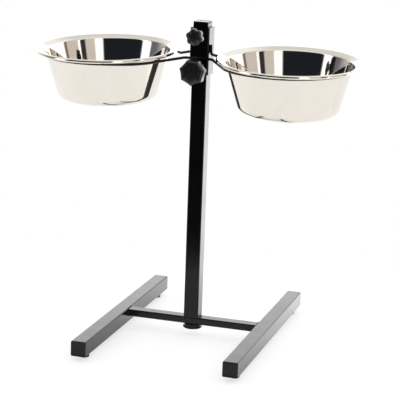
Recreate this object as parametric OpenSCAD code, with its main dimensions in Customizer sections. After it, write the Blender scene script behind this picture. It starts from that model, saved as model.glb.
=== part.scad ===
// Height-adjustable pet feeder stand with two lift-out bowls.
// The origin is on the floor under the column. X runs along the crossbar, Y points to the back, Z up.

/* [Feet] */
// Outer width of the square foot tubes
foot_tube_w = 25; // [20:1:40]
// Wall of the foot tubes
foot_tube_wall = 1.5; // [1:0.1:2.5]
// Outer corner radius of the foot tubes
foot_tube_r = 1.8; // [1.5:0.1:4]
// Length of each foot over its end caps
foot_len = 410; // [340:5:500]
// Distance between the centre lines of the two feet
foot_spacing = 250; // [200:5:320]
// Depth of the crossbar from front to back
crossbar_depth = 20; // [16:1:30]
// Height of the crossbar
crossbar_h = 12; // [8:1:16]
// Wall of the crossbar
crossbar_wall = 1.5; // [1:0.1:2.5]
// Outer corner radius of the crossbar
crossbar_r = 2; // [1.5:0.1:3]
// How far the crossbar's top lies below the tops of the foot tubes
crossbar_drop = 1; // [0:0.5:3]

/* [Caps and pads] */
// Thickness of the flange of each end cap
cap_flange = 3; // [2:0.5:6]
// Length of the plug that each cap pushes into its tube
cap_plug = 15; // [8:1:25]
// Wall of the hollow cap plugs
cap_wall = 2; // [1.2:0.1:3]
// Play around a plug in its tube, on each side
plug_gap = 0.15; // [0.05:0.05:0.4]
// Diameter of the rubber feet
pad_d = 16; // [12:1:20]
// Height of the rubber feet below the tubes
pad_h = 8; // [6:0.5:12]
// Edge rounding of the rubber feet
pad_round = 1.5; // [0.5:0.1:2.5]
// Diameter of the stem of each rubber foot
pad_stem_d = 6; // [4:0.5:8]
// How far the stem's barb reaches above the tube's lower wall
pad_barb_h = 4; // [2:0.5:8]
// Distance of the rubber feet from the ends of the foot
pad_inset = 28; // [28:1:60]

/* [Column] */
// Outer width of the square column
column_w = 25; // [22:1:40]
// Wall of the column
column_wall = 1.5; // [1:0.1:2.5]
// Outer corner radius of the column
column_r = 1.8; // [1.5:0.1:4]
// Length of the column tube
column_len = 489; // [400:1:600]
// Thickness of the flange under the column
insert_flange = 3; // [3:0.5:8]
// Length of the insert inside the column
insert_plug = 30; // [24:1:50]
// Diameter of the drain hole near the column's foot
drain_d = 3; // [2:0.5:5]
// Height of the drain hole above the end of the column tube
drain_up = 4; // [3:0.5:12]

/* [Column bolt] */
// Diameter of the bolt that holds the column
bolt_d = 8; // [6:1:10]
// Diameter of the round bolt head
head_d = 32; // [28:1:36]
// Height of the round bolt head's rim
head_rim = 2.5; // [1.5:0.5:4]
// Depth of the domed underside of the bolt head
head_dome = 2; // [1:0.5:2.5]
// Diameter of the collar on the bolt head
collar_d = 27; // [16:1:28]
// Height of that collar
collar_h = 3; // [1:0.5:3]
// Thickness of the washer under the crossbar
washer_h = 1.6; // [1:0.2:2]
// Outer diameter of the washer
washer_d = 22; // [18:1:24]
// Play around the bolt in its holes, on each side
bolt_gap = 0.25; // [0.1:0.05:0.5]

/* [Slider] */
// Play between the column and the sleeve, on each side
sleeve_gap = 0.7; // [0.3:0.05:0.9]
// Wall of the sleeve
sleeve_wall = 2.8; // [1.5:0.1:4]
// Outer corner radius of the sleeve
sleeve_r = 3; // [2.5:0.1:4]
// Length of the sleeve
sleeve_len = 76; // [70:1:120]
// How far the sleeve's top rests below the top of the column
sleeve_drop = 9; // [0:1:300]

/* [Clamp screws] */
// Diameter of the threaded studs
stud_d = 8; // [6:1:10]
// Play around a stud in its nut, on each side
thread_gap = 0.05; // [0.02:0.01:0.1]
// Width across the flats of the weld nuts
nut_flats = 13; // [11:1:17]
// Thickness of the weld nuts
nut_h = 6.5; // [5:0.5:8]
// Gap between a tightened stud and the column
tip_gap = 0.2; // [0.1:0.05:0.4]
// Bare length of the lower stud between its nut and its knob
lower_reach = 8; // [3:1:20]
// Bare length of the upper stud between its nut and its knob
upper_reach = 4; // [3:1:20]
// Height of the lower screw above the sleeve's lower end
lower_screw_up = 8; // [8:0.5:14]
// Distance of the upper screw below the sleeve's upper end
upper_screw_down = 12.5; // [9:0.5:16]
// Diameter of the lower star knob
lower_knob_d = 43; // [34:1:50]
// Thickness of the lower knob's head
lower_knob_h = 18; // [12:1:24]
// Depth of the hollows between the lower knob's lobes
lower_knob_hollow = 2.8; // [2:0.2:5]
// Radius of the hollows between the lower knob's lobes
lower_knob_hollow_r = 62; // [12:1:80]
// Diameter of the upper star knob
upper_knob_d = 28; // [24:1:40]
// Thickness of the upper knob's head
upper_knob_h = 14; // [10:1:20]
// Depth of the hollows between the upper knob's lobes
upper_knob_hollow = 1.9; // [1.5:0.1:4]
// Radius of the hollows between the upper knob's lobes
upper_knob_hollow_r = 9; // [6:0.5:20]
// Number of lobes on the lower knob
lower_knob_lobes = 7; // [5:1:9]
// Number of lobes on the upper knob
upper_knob_lobes = 6; // [5:1:9]
// Turn of the lower knob at rest, in degrees
lower_knob_turn = 10; // [0:1:60]
// Turn of the upper knob at rest, in degrees
upper_knob_turn = 43; // [0:1:60]
// Length of the hub behind each knob's head
knob_hub_h = 9; // [5:1:14]
// Diameter of that hub
knob_hub_d = 15; // [12:1:20]
// Edge rounding of the knobs
knob_round = 2.5; // [1:0.5:4]
// How far the knobs' faces crown
knob_crown = 1.2; // [0.5:0.1:2]

/* [Bowl rings] */
// Diameter of the ring wire
wire_d = 4.5; // [4:0.5:7]
// Height of the ring plane above the sleeve's lower end
ring_up = 30.5; // [26:0.5:40]
// Forward pitch of the rings, in degrees
ring_tilt = 3.7; // [0:0.1:5]
// How far the bowl centres lie ahead of the column
bowl_forward = 25; // [12:0.5:32]
// Gap between the sleeve and the bowl rims
rim_gap = 20; // [16:1:40]
// Gap between a bowl's body and its ring
ring_clear = 2.75; // [2:0.25:8]
// Distance of the front bend from the sleeve's side
front_bend_out = 7; // [6.5:0.5:13]
// Distance of the rear bend from the sleeve's side
rear_bend_out = 13; // [10:0.5:14]
// How far the left wire's rear end lies behind the column's centre
left_leg_back = 4; // [0:1:8]
// How far the right wire's rear end lies ahead of the column's centre
right_leg_forward = 9; // [2:1:11]
// How far the rear ends rise before they turn up
rear_leg_rise = 6.5; // [3:0.5:10]
// Height of the turned-up ends above the ring plane
rear_leg_top = 22; // [16:1:30]
// Bend radius of the wire
bend_r = 8; // [6:0.5:9]
// Bend radius at the turned-up ends
leg_bend_r = 5; // [4:0.5:6]
// Gap left for the weld between a wire and the sleeve
weld_gap = 0.1; // [0.05:0.05:0.3]
// Gap between a resting bowl and its ring
seat_gap = 0.3; // [0.2:0.05:0.5]

/* [Bowls] */
// Outer diameter of a bowl's body under its rim
bowl_top_d = 206; // [175:1:240]
// Outer diameter of a bowl's body at its base, before rounding
bowl_base_d = 161; // [130:1:186]
// Height of a bowl
bowl_h = 83.5; // [60:0.5:110]
// Outer radius of the corner at a bowl's base
base_corner_r = 16; // [6:1:22]
// Width of the flared rim
rim_overhang = 14; // [13:0.5:26]
// Upward flare of the rim, in degrees
rim_flare = 20; // [10:1:26]
// Inside radius where the body turns into the rim
neck_r = 4; // [2:0.5:6]
// Diameter of the rolled edge
bead_d = 5.8; // [5:0.1:8]
// Sheet thickness
bowl_wall = 0.8; // [0.6:0.1:1.2]

/* [Hidden] */

$fn = 64;
LEFT = -1;
RIGHT = 1;
FRONT = -1;
REAR = 1;
lacquer = "#1b1b1d";
plastic = "#26272a";
rubber = "#141415";
zinc = "#b9bdc2";
stainless = "#d9d8d4";

// Heights
foot_top = pad_h + foot_tube_w;
foot_axis_z = pad_h + foot_tube_w / 2;
crossbar_top = foot_top - crossbar_drop;
crossbar_bottom = crossbar_top - crossbar_h;
column_bottom = crossbar_top + insert_flange;
column_end = column_bottom + column_len;
column_top = column_end + cap_flange;
sleeve_top = column_top - sleeve_drop;
sleeve_bottom = sleeve_top - sleeve_len;
ring_z = sleeve_bottom + ring_up;
lower_screw_z = sleeve_bottom + lower_screw_up;
upper_screw_z = sleeve_top - upper_screw_down;

// Widths of the tubes' insides and of the sleeve
foot_bore = foot_tube_w - 2 * foot_tube_wall;
column_bore = column_w - 2 * column_wall;
sleeve_bore = column_w + 2 * sleeve_gap;
sleeve_w = sleeve_bore + 2 * sleeve_wall;

// Holes for the column bolt and its nut
bolt_hole_d = bolt_d + 2 * bolt_gap;
base_nut_flats = nut_flats;
base_nut_h = nut_h;
nut_pocket_z = column_bottom + insert_plug - base_nut_h - 2 * bolt_gap;
base_nut_z = nut_pocket_z + bolt_gap;
bolt_end_over = 2;
head_top = crossbar_bottom - washer_h - collar_h;

// Bowl profile: radii from the bowl's axis, heights from the top of its rolled edge
bowl_top_r = bowl_top_d / 2;
bowl_base_r = bowl_base_d / 2;
rim_r = bowl_top_r + rim_overhang;
bead_r = bead_d / 2;
ring_r = bowl_top_r + ring_clear + wire_d / 2;
rim_sink = 0.05;
flange_r = bead_r - rim_sink;
flange_edge = [rim_r - bead_r - flange_r * sin(rim_flare), flange_r * cos(rim_flare) - bead_r];
neck_drop = bowl_wall / cos(rim_flare) - flange_edge.y + (flange_edge.x - bowl_top_r) * tan(rim_flare);
wall_lean = atan((bowl_top_r - bowl_base_r) / (bowl_h - neck_drop));
bowl_x = sleeve_w / 2 + rim_gap + rim_r;
bowl_y = -bowl_forward;

// A bowl's flange rests on the outer side of its ring, its rolled edge on the strands near the sleeve
wire_clear = wire_d / 2 + seat_gap;
under_flange = neck_drop - (ring_r - bowl_top_r) * tan(rim_flare) + wire_clear / cos(rim_flare);
under_bead = bead_r + sqrt(max(pow(bead_r + wire_clear, 2) - pow(rim_r - bead_r - ring_r, 2), 0));
outer_seat = max(under_flange, under_bead);
inner_seat = max(bead_d + wire_clear, outer_seat);
bowl_lean = asin((inner_seat - outer_seat) / (1.9 * ring_r));
seat = outer_seat + ring_r * sin(bowl_lean);

// The wire is a trace thicker in its bends, and its straight lengths reach a little into them
bend_swell = 0.02;
bend_lap = 0.25;

// Points of an arc about c
function arc(c, r, from, to, steps = 8) =
    [for (i = [0 : steps]) c + r * [cos(from + (to - from) * i / steps), sin(from + (to - from) * i / steps)]];
function unit(v) = v / norm(v);
function side_x(side) = side * foot_spacing / 2;
function end_y(end) = end * (foot_len / 2 - cap_flange);
function hex_d(flats) = flats / cos(30);

// Square outline with round corners, made of straight strips and circles
module rounded_square(width, depth, r) {
    square([width - 2 * r, depth], center = true);
    square([width, depth - 2 * r], center = true);
    for (x = [-1, 1])
        for (y = [-1, 1])
            translate([x * (width / 2 - r), y * (depth / 2 - r)]) circle(r);
}

// Outline of a square or flat tube
module tube_section(width, depth, wall, r) {
    difference() {
        rounded_square(width, depth, r);
        rounded_square(width - 2 * wall, depth - 2 * wall, max(r - wall, 0.2));
    }
}

module foot_tube(side) {
    tube_len = foot_len - 2 * cap_flange;
    color(lacquer) translate([side_x(side), 0, foot_axis_z]) difference() {
        rotate([90, 0, 0])
            linear_extrude(tube_len, center = true)
                tube_section(foot_tube_w, foot_tube_w, foot_tube_wall, foot_tube_r);
        for (end = [FRONT, REAR])
            translate([0, end * (foot_len / 2 - pad_inset), -foot_tube_w])
                cylinder(d = pad_stem_d + 2 * plug_gap, h = foot_tube_w);
    }
}

module crossbar() {
    color(lacquer) difference() {
        translate([0, 0, crossbar_top - crossbar_h / 2]) rotate([90, 0, 90])
            linear_extrude(foot_spacing - foot_tube_w, center = true)
                tube_section(crossbar_depth, crossbar_h, crossbar_wall, crossbar_r);
        translate([0, 0, crossbar_bottom - 1]) cylinder(d = bolt_hole_d, h = crossbar_h + 2);
    }
}

module column_tube() {
    color(lacquer) difference() {
        translate([0, 0, column_bottom])
            linear_extrude(column_len) tube_section(column_w, column_w, column_wall, column_r);
        translate([column_w / 2 - 2 * column_wall, 0, column_bottom + drain_up])
            rotate([0, 90, 0]) cylinder(d = drain_d, h = 3 * column_wall);
    }
}

// Plug with a flange for a square tube: flange above z = 0, hollow plug below it
module tube_cap(width, bore, r) {
    plug_w = bore - 2 * plug_gap;
    linear_extrude(cap_flange) rounded_square(width, width, r);
    translate([0, 0, -cap_plug]) linear_extrude(cap_plug) tube_section(plug_w, plug_w, cap_wall, 1);
}

module column_top_cap() {
    color(plastic) translate([0, 0, column_end]) tube_cap(column_w, column_bore, column_r);
}

module end_cap(side, end) {
    color(plastic) translate([side_x(side), end_y(end), foot_axis_z])
        rotate([-90 * end, 0, 0]) tube_cap(foot_tube_w, foot_bore, foot_tube_r);
}

// Round rubber foot with a stem through the tube's lower wall and a barb above it
module foot_pad(side, end) {
    stem_h = foot_tube_wall + pad_barb_h;
    barb_d = pad_stem_d - 2 * plug_gap;
    color(rubber) translate([side_x(side), end * (foot_len / 2 - pad_inset), 0]) {
        rotate_extrude()
            polygon(concat(
                [[0, 0]],
                arc([pad_d / 2 - pad_round, pad_round], pad_round, -90, 0, 6),
                [[pad_d / 2, pad_h], [0, pad_h]]
            ));
        translate([0, 0, pad_h]) cylinder(d = barb_d, h = stem_h);
    }
}

module column_base_insert() {
    plug_w = column_bore - 2 * plug_gap;
    color(plastic) difference() {
        union() {
            translate([0, 0, crossbar_top])
                linear_extrude(insert_flange) rounded_square(column_w, column_w, column_r);
            translate([0, 0, column_bottom])
                linear_extrude(insert_plug) rounded_square(plug_w, plug_w, 1);
        }
        translate([0, 0, crossbar_top - 1]) cylinder(d = bolt_hole_d, h = insert_flange + insert_plug + 2);
        translate([0, 0, nut_pocket_z])
            cylinder(d = hex_d(base_nut_flats + 2 * bolt_gap), h = insert_plug, $fn = 6);
    }
}

// Plain hexagon nut standing on z = 0
module hex_nut(flats, h, bore_d) {
    difference() {
        cylinder(d = hex_d(flats), h = h, $fn = 6);
        translate([0, 0, -1]) cylinder(d = bore_d, h = h + 2);
    }
}

module base_nut() {
    color(zinc) translate([0, 0, base_nut_z]) hex_nut(base_nut_flats, base_nut_h, bolt_d + 2 * thread_gap);
}

module base_bolt() {
    bolt_top = base_nut_z + base_nut_h + bolt_end_over;
    color(zinc) translate([0, 0, head_top]) cylinder(d = bolt_d, h = bolt_top - head_top);
}

// Round head with a collar above and a shallow dome below
module base_bolt_head() {
    dome_r = (pow(head_d / 2, 2) + pow(head_dome, 2)) / (2 * head_dome);
    dome_half = asin(head_d / 2 / dome_r);
    rim_bottom = head_top - head_rim;
    color(plastic) rotate_extrude()
        polygon(concat(
            arc([0, rim_bottom - head_dome + dome_r], dome_r, -90, -90 + dome_half, 6),
            [[head_d / 2, head_top], [collar_d / 2, head_top], [collar_d / 2, head_top + collar_h],
             [bolt_d / 2 + thread_gap, head_top + collar_h], [bolt_d / 2 + thread_gap, head_top], [0, head_top]]
        ));
}

module base_washer() {
    color(lacquer) translate([0, 0, crossbar_bottom - washer_h]) difference() {
        cylinder(d = washer_d, h = washer_h);
        translate([0, 0, -1]) cylinder(d = bolt_hole_d, h = washer_h + 2);
    }
}

// Places a clamp screw's piece: its own z axis then points forward, out of the sleeve's front face
module at_screw(z) {
    translate([0, -sleeve_w / 2, z]) rotate([90, 0, 0]) children();
}

module slider_sleeve() {
    color(lacquer) difference() {
        translate([0, 0, sleeve_bottom])
            linear_extrude(sleeve_len) tube_section(sleeve_w, sleeve_w, sleeve_wall, sleeve_r);
        for (z = [lower_screw_z, upper_screw_z])
            at_screw(z) translate([0, 0, -2 * sleeve_wall]) cylinder(d = stud_d + 2 * bolt_gap, h = 3 * sleeve_wall);
    }
}

module weld_nut(z) {
    color(lacquer) at_screw(z) hex_nut(nut_flats, nut_h, stud_d + 2 * thread_gap);
}

// Threaded stud from just ahead of the column into its knob's hub
module clamp_stud(z, reach) {
    tip = -(sleeve_wall + sleeve_gap - tip_gap);
    color(zinc) at_screw(z) translate([0, 0, tip]) cylinder(d = stud_d, h = nut_h + reach + knob_hub_h - tip);
}

// Star knob: a crowned round head with hollows cut between its lobes, and a hub behind it
module star_knob(z, reach, d, h, hollow, hollow_r, lobes, turn) {
    back = nut_h + reach + knob_hub_h;
    crown_r = (pow(d / 2 - knob_round, 2) + pow(knob_crown, 2)) / (2 * knob_crown);
    crown_half = asin((d / 2 - knob_round) / crown_r);
    shoulder = h - knob_crown - knob_round;
    color(plastic) at_screw(z) translate([0, 0, back]) difference() {
        union() {
            rotate_extrude()
                polygon(concat(
                    [[0, 0], [d / 2 - knob_round, 0]],
                    arc([d / 2 - knob_round, knob_round], knob_round, -90, 0, 4),
                    arc([d / 2 - knob_round, shoulder], knob_round, 0, 90 - crown_half, 4),
                    arc([0, h - crown_r], crown_r, 90 - crown_half, 90, 4)
                ));
            translate([0, 0, -knob_hub_h]) cylinder(d = knob_hub_d, h = knob_hub_h);
        }
        for (i = [0 : lobes - 1])
            rotate([0, 0, (i + 0.5) * 360 / lobes + turn])
                translate([d / 2 - hollow + hollow_r, 0, -1]) cylinder(r = hollow_r, h = h + 2);
        translate([0, 0, -knob_hub_h - 1]) cylinder(d = stud_d + 2 * thread_gap, h = knob_hub_h + 1);
    }
}

// Straight length of wire from a to b, lengthened by the laps that reach into its neighbours
module wire_run(a, b, lap_a, lap_b) {
    w = unit(b - a);
    u = unit(cross(abs(w.z) < 0.9 ? [0, 0, 1] : [1, 0, 0], w));
    v = cross(w, u);
    start = a - w * lap_a;
    multmatrix([
        [u.x, v.x, w.x, start.x],
        [u.y, v.y, w.y, start.y],
        [u.z, v.z, w.z, start.z],
        [0, 0, 0, 1]
    ]) cylinder(d = wire_d - bend_swell, h = norm(b - a) + lap_a + lap_b);
}

// Length that a bend of radius r takes from each leg of the corner a, b, c
function bend_take(a, b, c, r) = r * tan((180 - acos(unit(a - b) * unit(c - b))) / 2);

// Bent length of wire at the corner b between a and c
module wire_bend(a, b, c, r) {
    inner = acos(unit(a - b) * unit(c - b));
    centre = b + unit(unit(a - b) + unit(c - b)) * r / sin(inner / 2);
    u = unit(b + unit(a - b) * bend_take(a, b, c, r) - centre);
    w = unit(cross(u, b + unit(c - b) * bend_take(a, b, c, r) - centre));
    v = cross(w, u);
    multmatrix([
        [u.x, v.x, w.x, centre.x],
        [u.y, v.y, w.y, centre.y],
        [u.z, v.z, w.z, centre.z],
        [0, 0, 0, 1]
    ]) rotate_extrude(angle = 180 - inner) translate([r, 0]) circle(d = wire_d);
}

// Wire through a list of points, with a bend radius for each inner point and a lap at either end
module wire_path(points, radii, lap_first, lap_last) {
    last = len(points) - 1;
    take = [for (i = [0 : last])
        (i == 0 || i == last) ? 0 : bend_take(points[i - 1], points[i], points[i + 1], radii[i - 1])];
    for (i = [0 : last - 1]) {
        step = unit(points[i + 1] - points[i]);
        wire_run(
            points[i] + step * take[i],
            points[i + 1] - step * take[i + 1],
            i == 0 ? lap_first : bend_lap,
            i == last - 1 ? lap_last : bend_lap
        );
    }
    for (i = [1 : last - 1])
        wire_bend(points[i - 1], points[i], points[i + 1], radii[i - 1]);
}

// The right ring's wire in its own plane: across the sleeve's front, round the ring, back to the sleeve's side
module ring_wire(leg_y) {
    centre = [bowl_x, bowl_y, 0];
    touch = sleeve_w / 2 + weld_gap + wire_d / 2;
    start = [weld_gap / 2, -touch, 0];
    front_bend = [sleeve_w / 2 + front_bend_out, -touch, 0];
    rear_aim = [sleeve_w / 2 + rear_bend_out, leg_y, 0];
    to_front = front_bend - centre;
    to_rear = rear_aim - centre;
    front_angle = atan2(to_front.y, to_front.x) + acos(ring_r / norm(to_front)) + 360;
    rear_angle = atan2(to_rear.y, to_rear.x) - acos(ring_r / norm(to_rear)) + 360;
    front_touch = centre + ring_r * [cos(front_angle), sin(front_angle), 0];
    rear_touch = centre + ring_r * [cos(rear_angle), sin(rear_angle), 0];
    past_rim = sqrt(pow(rim_r + wire_d / 2 + seat_gap, 2) - pow(ring_r, 2));
    rear_bend = rear_touch + unit(rear_aim - rear_touch) * past_rim;
    leg_foot = [touch, leg_y, rear_leg_rise];
    leg_end = [touch, leg_y, rear_leg_top];
    front_start = front_angle > 360 ? front_angle - 360 : front_angle;
    sweep = rear_angle + 360 - front_start;
    wire_path([start, front_bend, front_touch], [bend_r], 0, bend_lap);
    wire_path([rear_touch, rear_bend, leg_foot, leg_end], [leg_bend_r, leg_bend_r], bend_lap, 0);
    translate(centre) rotate([0, 0, front_start])
        rotate_extrude(angle = sweep % 360) translate([ring_r, 0]) circle(d = wire_d);
}

// Places what lies in the ring plane, on the left by mirroring the right
module in_ring_plane(side) {
    translate([0, 0, ring_z]) rotate([ring_tilt, 0, 0]) mirror([side == LEFT ? 1 : 0, 0, 0]) children();
}

module side_ring_wire(side) {
    color(lacquer) in_ring_plane(side) ring_wire(side == LEFT ? left_leg_back : -right_leg_forward);
}

// Rounds the corner p of an outline that comes from a and goes to b
function round_corner(a, p, b, r) =
    let(
        inner = acos(unit(a - p) * unit(b - p)),
        c = p + unit(unit(a - p) + unit(b - p)) * r / sin(inner / 2),
        p0 = p + unit(a - p) * r / tan(inner / 2),
        p1 = p + unit(b - p) * r / tan(inner / 2),
        from = atan2(p0.y - c.y, p0.x - c.x),
        turn = atan2(p1.y - c.y, p1.x - c.x) - from,
        to = from + (turn > 180 ? turn - 360 : turn < -180 ? turn + 360 : turn)
    ) arc(c, r, from, to);

// One face of the bowl's sheet, t inside the outer face, from the axis to the rolled edge
function sheet_face(t) =
    let(
        base = [bowl_base_r + t * tan(wall_lean) - t / cos(wall_lean), t - bowl_h],
        rise = t * (1 / cos(rim_flare) - tan(rim_flare) / cos(wall_lean)) / (1 - tan(wall_lean) * tan(rim_flare)),
        neck = [bowl_top_r + rise * tan(wall_lean) - t / cos(wall_lean), rise - neck_drop],
        edge = flange_edge + (bowl_wall - t) * [sin(rim_flare), -cos(rim_flare)],
        axis = [0, t - bowl_h]
    ) concat(
        [axis],
        round_corner(axis, base, neck, base_corner_r - t),
        round_corner(base, neck, edge, neck_r + t),
        [edge]
    );

function reversed(list) = [for (i = [len(list) - 1 : -1 : 0]) list[i]];

// Bowl pressed from sheet, with a flared rim whose edge is rolled under and left open at the bottom
module bowl(side) {
    bead_x = rim_r - bead_r;
    color(stainless) in_ring_plane(side) translate([bowl_x, bowl_y, seat]) rotate([0, bowl_lean, 0])
        rotate_extrude($fn = 128) difference() {
            union() {
                polygon(concat(sheet_face(0), reversed(sheet_face(bowl_wall))));
                translate([bead_x, -bead_r]) circle(bead_r);
            }
            translate([bead_x, -bead_r]) circle(bead_r - bowl_wall);
            translate([bead_x, -bead_d - bowl_wall]) square([bowl_wall, 3 * bowl_wall]);
        }
}

foot_tube(LEFT);  // left_foot_tube
foot_tube(RIGHT);  // right_foot_tube
crossbar();
column_tube();
column_base_insert();
base_nut();
base_bolt();
base_bolt_head();
base_washer();
column_top_cap();
end_cap(LEFT, FRONT);  // left_front_cap
end_cap(LEFT, REAR);  // left_rear_cap
end_cap(RIGHT, FRONT);  // right_front_cap
end_cap(RIGHT, REAR);  // right_rear_cap
foot_pad(LEFT, FRONT);  // left_front_pad
foot_pad(LEFT, REAR);  // left_rear_pad
foot_pad(RIGHT, FRONT);  // right_front_pad
foot_pad(RIGHT, REAR);  // right_rear_pad
slider_sleeve();
weld_nut(upper_screw_z);  // upper_weld_nut
weld_nut(lower_screw_z);  // lower_weld_nut
side_ring_wire(LEFT);  // left_ring_wire
side_ring_wire(RIGHT);  // right_ring_wire
clamp_stud(upper_screw_z, upper_reach);  // upper_clamp_stud
clamp_stud(lower_screw_z, lower_reach);  // lower_clamp_stud
star_knob(  // upper_star_knob
        upper_screw_z, upper_reach, upper_knob_d, upper_knob_h, upper_knob_hollow, upper_knob_hollow_r,
        upper_knob_lobes, upper_knob_turn
    );
star_knob(  // lower_star_knob
        lower_screw_z, lower_reach, lower_knob_d, lower_knob_h, lower_knob_hollow, lower_knob_hollow_r,
        lower_knob_lobes, lower_knob_turn
    );
bowl(LEFT);  // left_bowl
bowl(RIGHT);  // right_bowl
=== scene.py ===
# %% [markdown]
# # A pet feeder stand with two lift-out bowls
# The stand is an H of square steel tube with a square column on it. A sleeve slides on the column,
# two star knobs clamp it, and two wire rings welded to the sleeve carry polished steel bowls. The
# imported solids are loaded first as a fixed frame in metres: X runs along the crossbar, Y to the
# back, Z up. Tubes whose solids already have the right shape keep them. All else is modelled
# again, finer.

# %% Load the frame
import bmesh
import bpy
from math import acos, atan2, cos, pi, radians, sin, sqrt, tan
from mathutils import Matrix, Vector


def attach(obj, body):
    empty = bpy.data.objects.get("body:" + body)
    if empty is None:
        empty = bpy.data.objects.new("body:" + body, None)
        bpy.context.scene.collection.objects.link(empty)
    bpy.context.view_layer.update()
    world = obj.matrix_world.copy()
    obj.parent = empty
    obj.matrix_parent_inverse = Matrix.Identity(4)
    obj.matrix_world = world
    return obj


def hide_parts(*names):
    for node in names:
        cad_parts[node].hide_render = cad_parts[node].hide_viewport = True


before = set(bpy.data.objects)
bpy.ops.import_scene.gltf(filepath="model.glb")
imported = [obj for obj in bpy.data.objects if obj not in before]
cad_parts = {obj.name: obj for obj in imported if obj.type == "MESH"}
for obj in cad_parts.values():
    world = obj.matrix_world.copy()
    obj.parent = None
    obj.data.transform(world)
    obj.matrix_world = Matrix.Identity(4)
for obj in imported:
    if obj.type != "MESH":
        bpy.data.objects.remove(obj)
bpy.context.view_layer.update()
bpy.ops.object.select_all(action="DESELECT")


def rounded(values, places=4):
    return [round(value, places) for value in values]


# %% [markdown]
# ## The camera
# The picture was taken from the front, a little to the right and above, through a long lens, so
# the two feet look almost parallel. A camera is placed by its direction: yaw, pitch and a slight
# roll give three axes, and they are the columns of its matrix. That keeps all numbers readable,
# which typing in Euler angles from a fit would not.

# %% Camera
CAMERA_SPOT = Vector((0.7084, -2.3265, 0.8067))
CAMERA_YAW, CAMERA_PITCH, CAMERA_ROLL = radians(16.81), radians(13.30), radians(2.02)
CAMERA_LENS, CAMERA_SENSOR = 136.35, 36


def add_camera():
    ahead = Vector((
        -sin(CAMERA_YAW) * cos(CAMERA_PITCH),
        cos(CAMERA_YAW) * cos(CAMERA_PITCH),
        -sin(CAMERA_PITCH),
    ))
    level = Vector((cos(CAMERA_YAW), sin(CAMERA_YAW), 0))
    above = level.cross(ahead)
    right = cos(CAMERA_ROLL) * level + sin(CAMERA_ROLL) * above
    up = cos(CAMERA_ROLL) * above - sin(CAMERA_ROLL) * level
    matrix = Matrix((right, up, -ahead)).transposed().to_4x4()
    matrix.translation = CAMERA_SPOT
    bpy.ops.object.camera_add()
    camera = bpy.context.object
    camera.matrix_world = matrix
    camera.data.sensor_width = CAMERA_SENSOR
    camera.data.lens = CAMERA_LENS
    camera.data.dof.use_dof = False
    bpy.context.scene.camera = camera
    return camera


camera = add_camera()
print("camera looks along", rounded(camera.matrix_world.col[2].xyz * -1, 3))

# %% [markdown]
# ## The studio
# Polished steel and black lacquer show almost nothing but what stands around them, so the room
# matters more than the lamps. A world shader is used as a room all round: white behind the stand,
# a pale ceiling and a dark studio in front with upright soft boxes. A ramp over the compass
# direction paints the walls.

# %% Studio walls
DARK_ROOM, BLACK_FLAG = (0.004, 0.0045, 0.006), (0.010, 0.010, 0.011)
SOFT_BOX, COOL_BOX = (0.42, 0.42, 0.42), (0.39, 0.41, 0.43)
WARM_WALL, BROWN_DOOR = (0.198, 0.182, 0.168), (0.060, 0.047, 0.040)
WHITE_WALL, GREY_WALL = (0.94, 0.94, 0.94), (0.70, 0.70, 0.70)
# Compass direction in degrees from the front towards the right, and the wall's colour there
WALLS = [
    (-180, GREY_WALL), (-150, (0.66, 0.66, 0.66)), (-120, (0.24, 0.24, 0.24)),
    (-100, (0.13, 0.13, 0.135)), (-87, (0.05, 0.05, 0.055)), (-72, (0.04, 0.04, 0.046)),
    (-69, COOL_BOX), (-52, COOL_BOX), (-49, DARK_ROOM), (27, DARK_ROOM),
    (30, SOFT_BOX), (43, SOFT_BOX), (45, WARM_WALL), (62, WARM_WALL),
    (64, BLACK_FLAG), (73, BLACK_FLAG), (74.5, SOFT_BOX), (77.5, SOFT_BOX),
    (79, WARM_WALL), (103, WARM_WALL), (105, BROWN_DOOR), (109, BROWN_DOOR),
    (113, (0.45, 0.44, 0.43)), (150, WHITE_WALL), (168, WHITE_WALL), (180, GREY_WALL),
]
print("studio walls:", len(WALLS), "stops round the compass")

# %% [markdown]
# A shader is a net of nodes, and most of its lines would say the same: make a node, type a value
# on a socket or link another node to it. A few helpers say that once, so that the nets below read
# as sums.

# %% Helpers for shader nodes
def new_node(tree, kind, **settings):
    made = tree.nodes.new(kind)
    for setting, value in settings.items():
        setattr(made, setting, value)
    return made


def feed(tree, node, values):
    """Types values on a node's sockets, or links other nodes' outputs to them."""
    for label, value in values.items():
        if isinstance(value, bpy.types.NodeSocket):
            tree.links.new(value, node.inputs[label])
        else:
            node.inputs[label].default_value = value
    return node


def calculate(tree, operation, *values):
    """A math node over numbers and other nodes' outputs."""
    made = new_node(tree, "ShaderNodeMath", operation=operation)
    return feed(tree, made, dict(enumerate(values))).outputs[0]


def product(tree, first, *others):
    for other in others:
        first = calculate(tree, "MULTIPLY", first, other)
    return first


def map_range(tree, source, low, high, to_low=0.0, to_high=1.0, smooth=False):
    """Maps a value from one range to another and holds it at the ends."""
    way = "SMOOTHSTEP" if smooth else "LINEAR"
    made = new_node(tree, "ShaderNodeMapRange", interpolation_type=way)
    ends = {"From Min": low, "From Max": high, "To Min": to_low, "To Max": to_high}
    return feed(tree, made, {"Value": source, **ends}).outputs["Result"]


def soft_edge(tree, source, edge):
    """A mask that rises smoothly from the first value of an edge to the second."""
    return map_range(tree, source, *edge, smooth=True)


def split_axes(tree, vector):
    return feed(tree, new_node(tree, "ShaderNodeSeparateXYZ"), {0: vector}).outputs[:]


def place_of(tree, kind):
    return new_node(tree, "ShaderNodeTexCoord").outputs[kind]


def mix_colours(tree, factor, first, second):
    made = feed(tree, new_node(tree, "ShaderNodeMix", data_type="RGBA"), {"Factor": factor})
    for label, colour in (("A", first), ("B", second)):
        feed(tree, made, {label: (*colour, 1) if isinstance(colour, tuple) else colour})
    return made.outputs["Result"]


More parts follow.
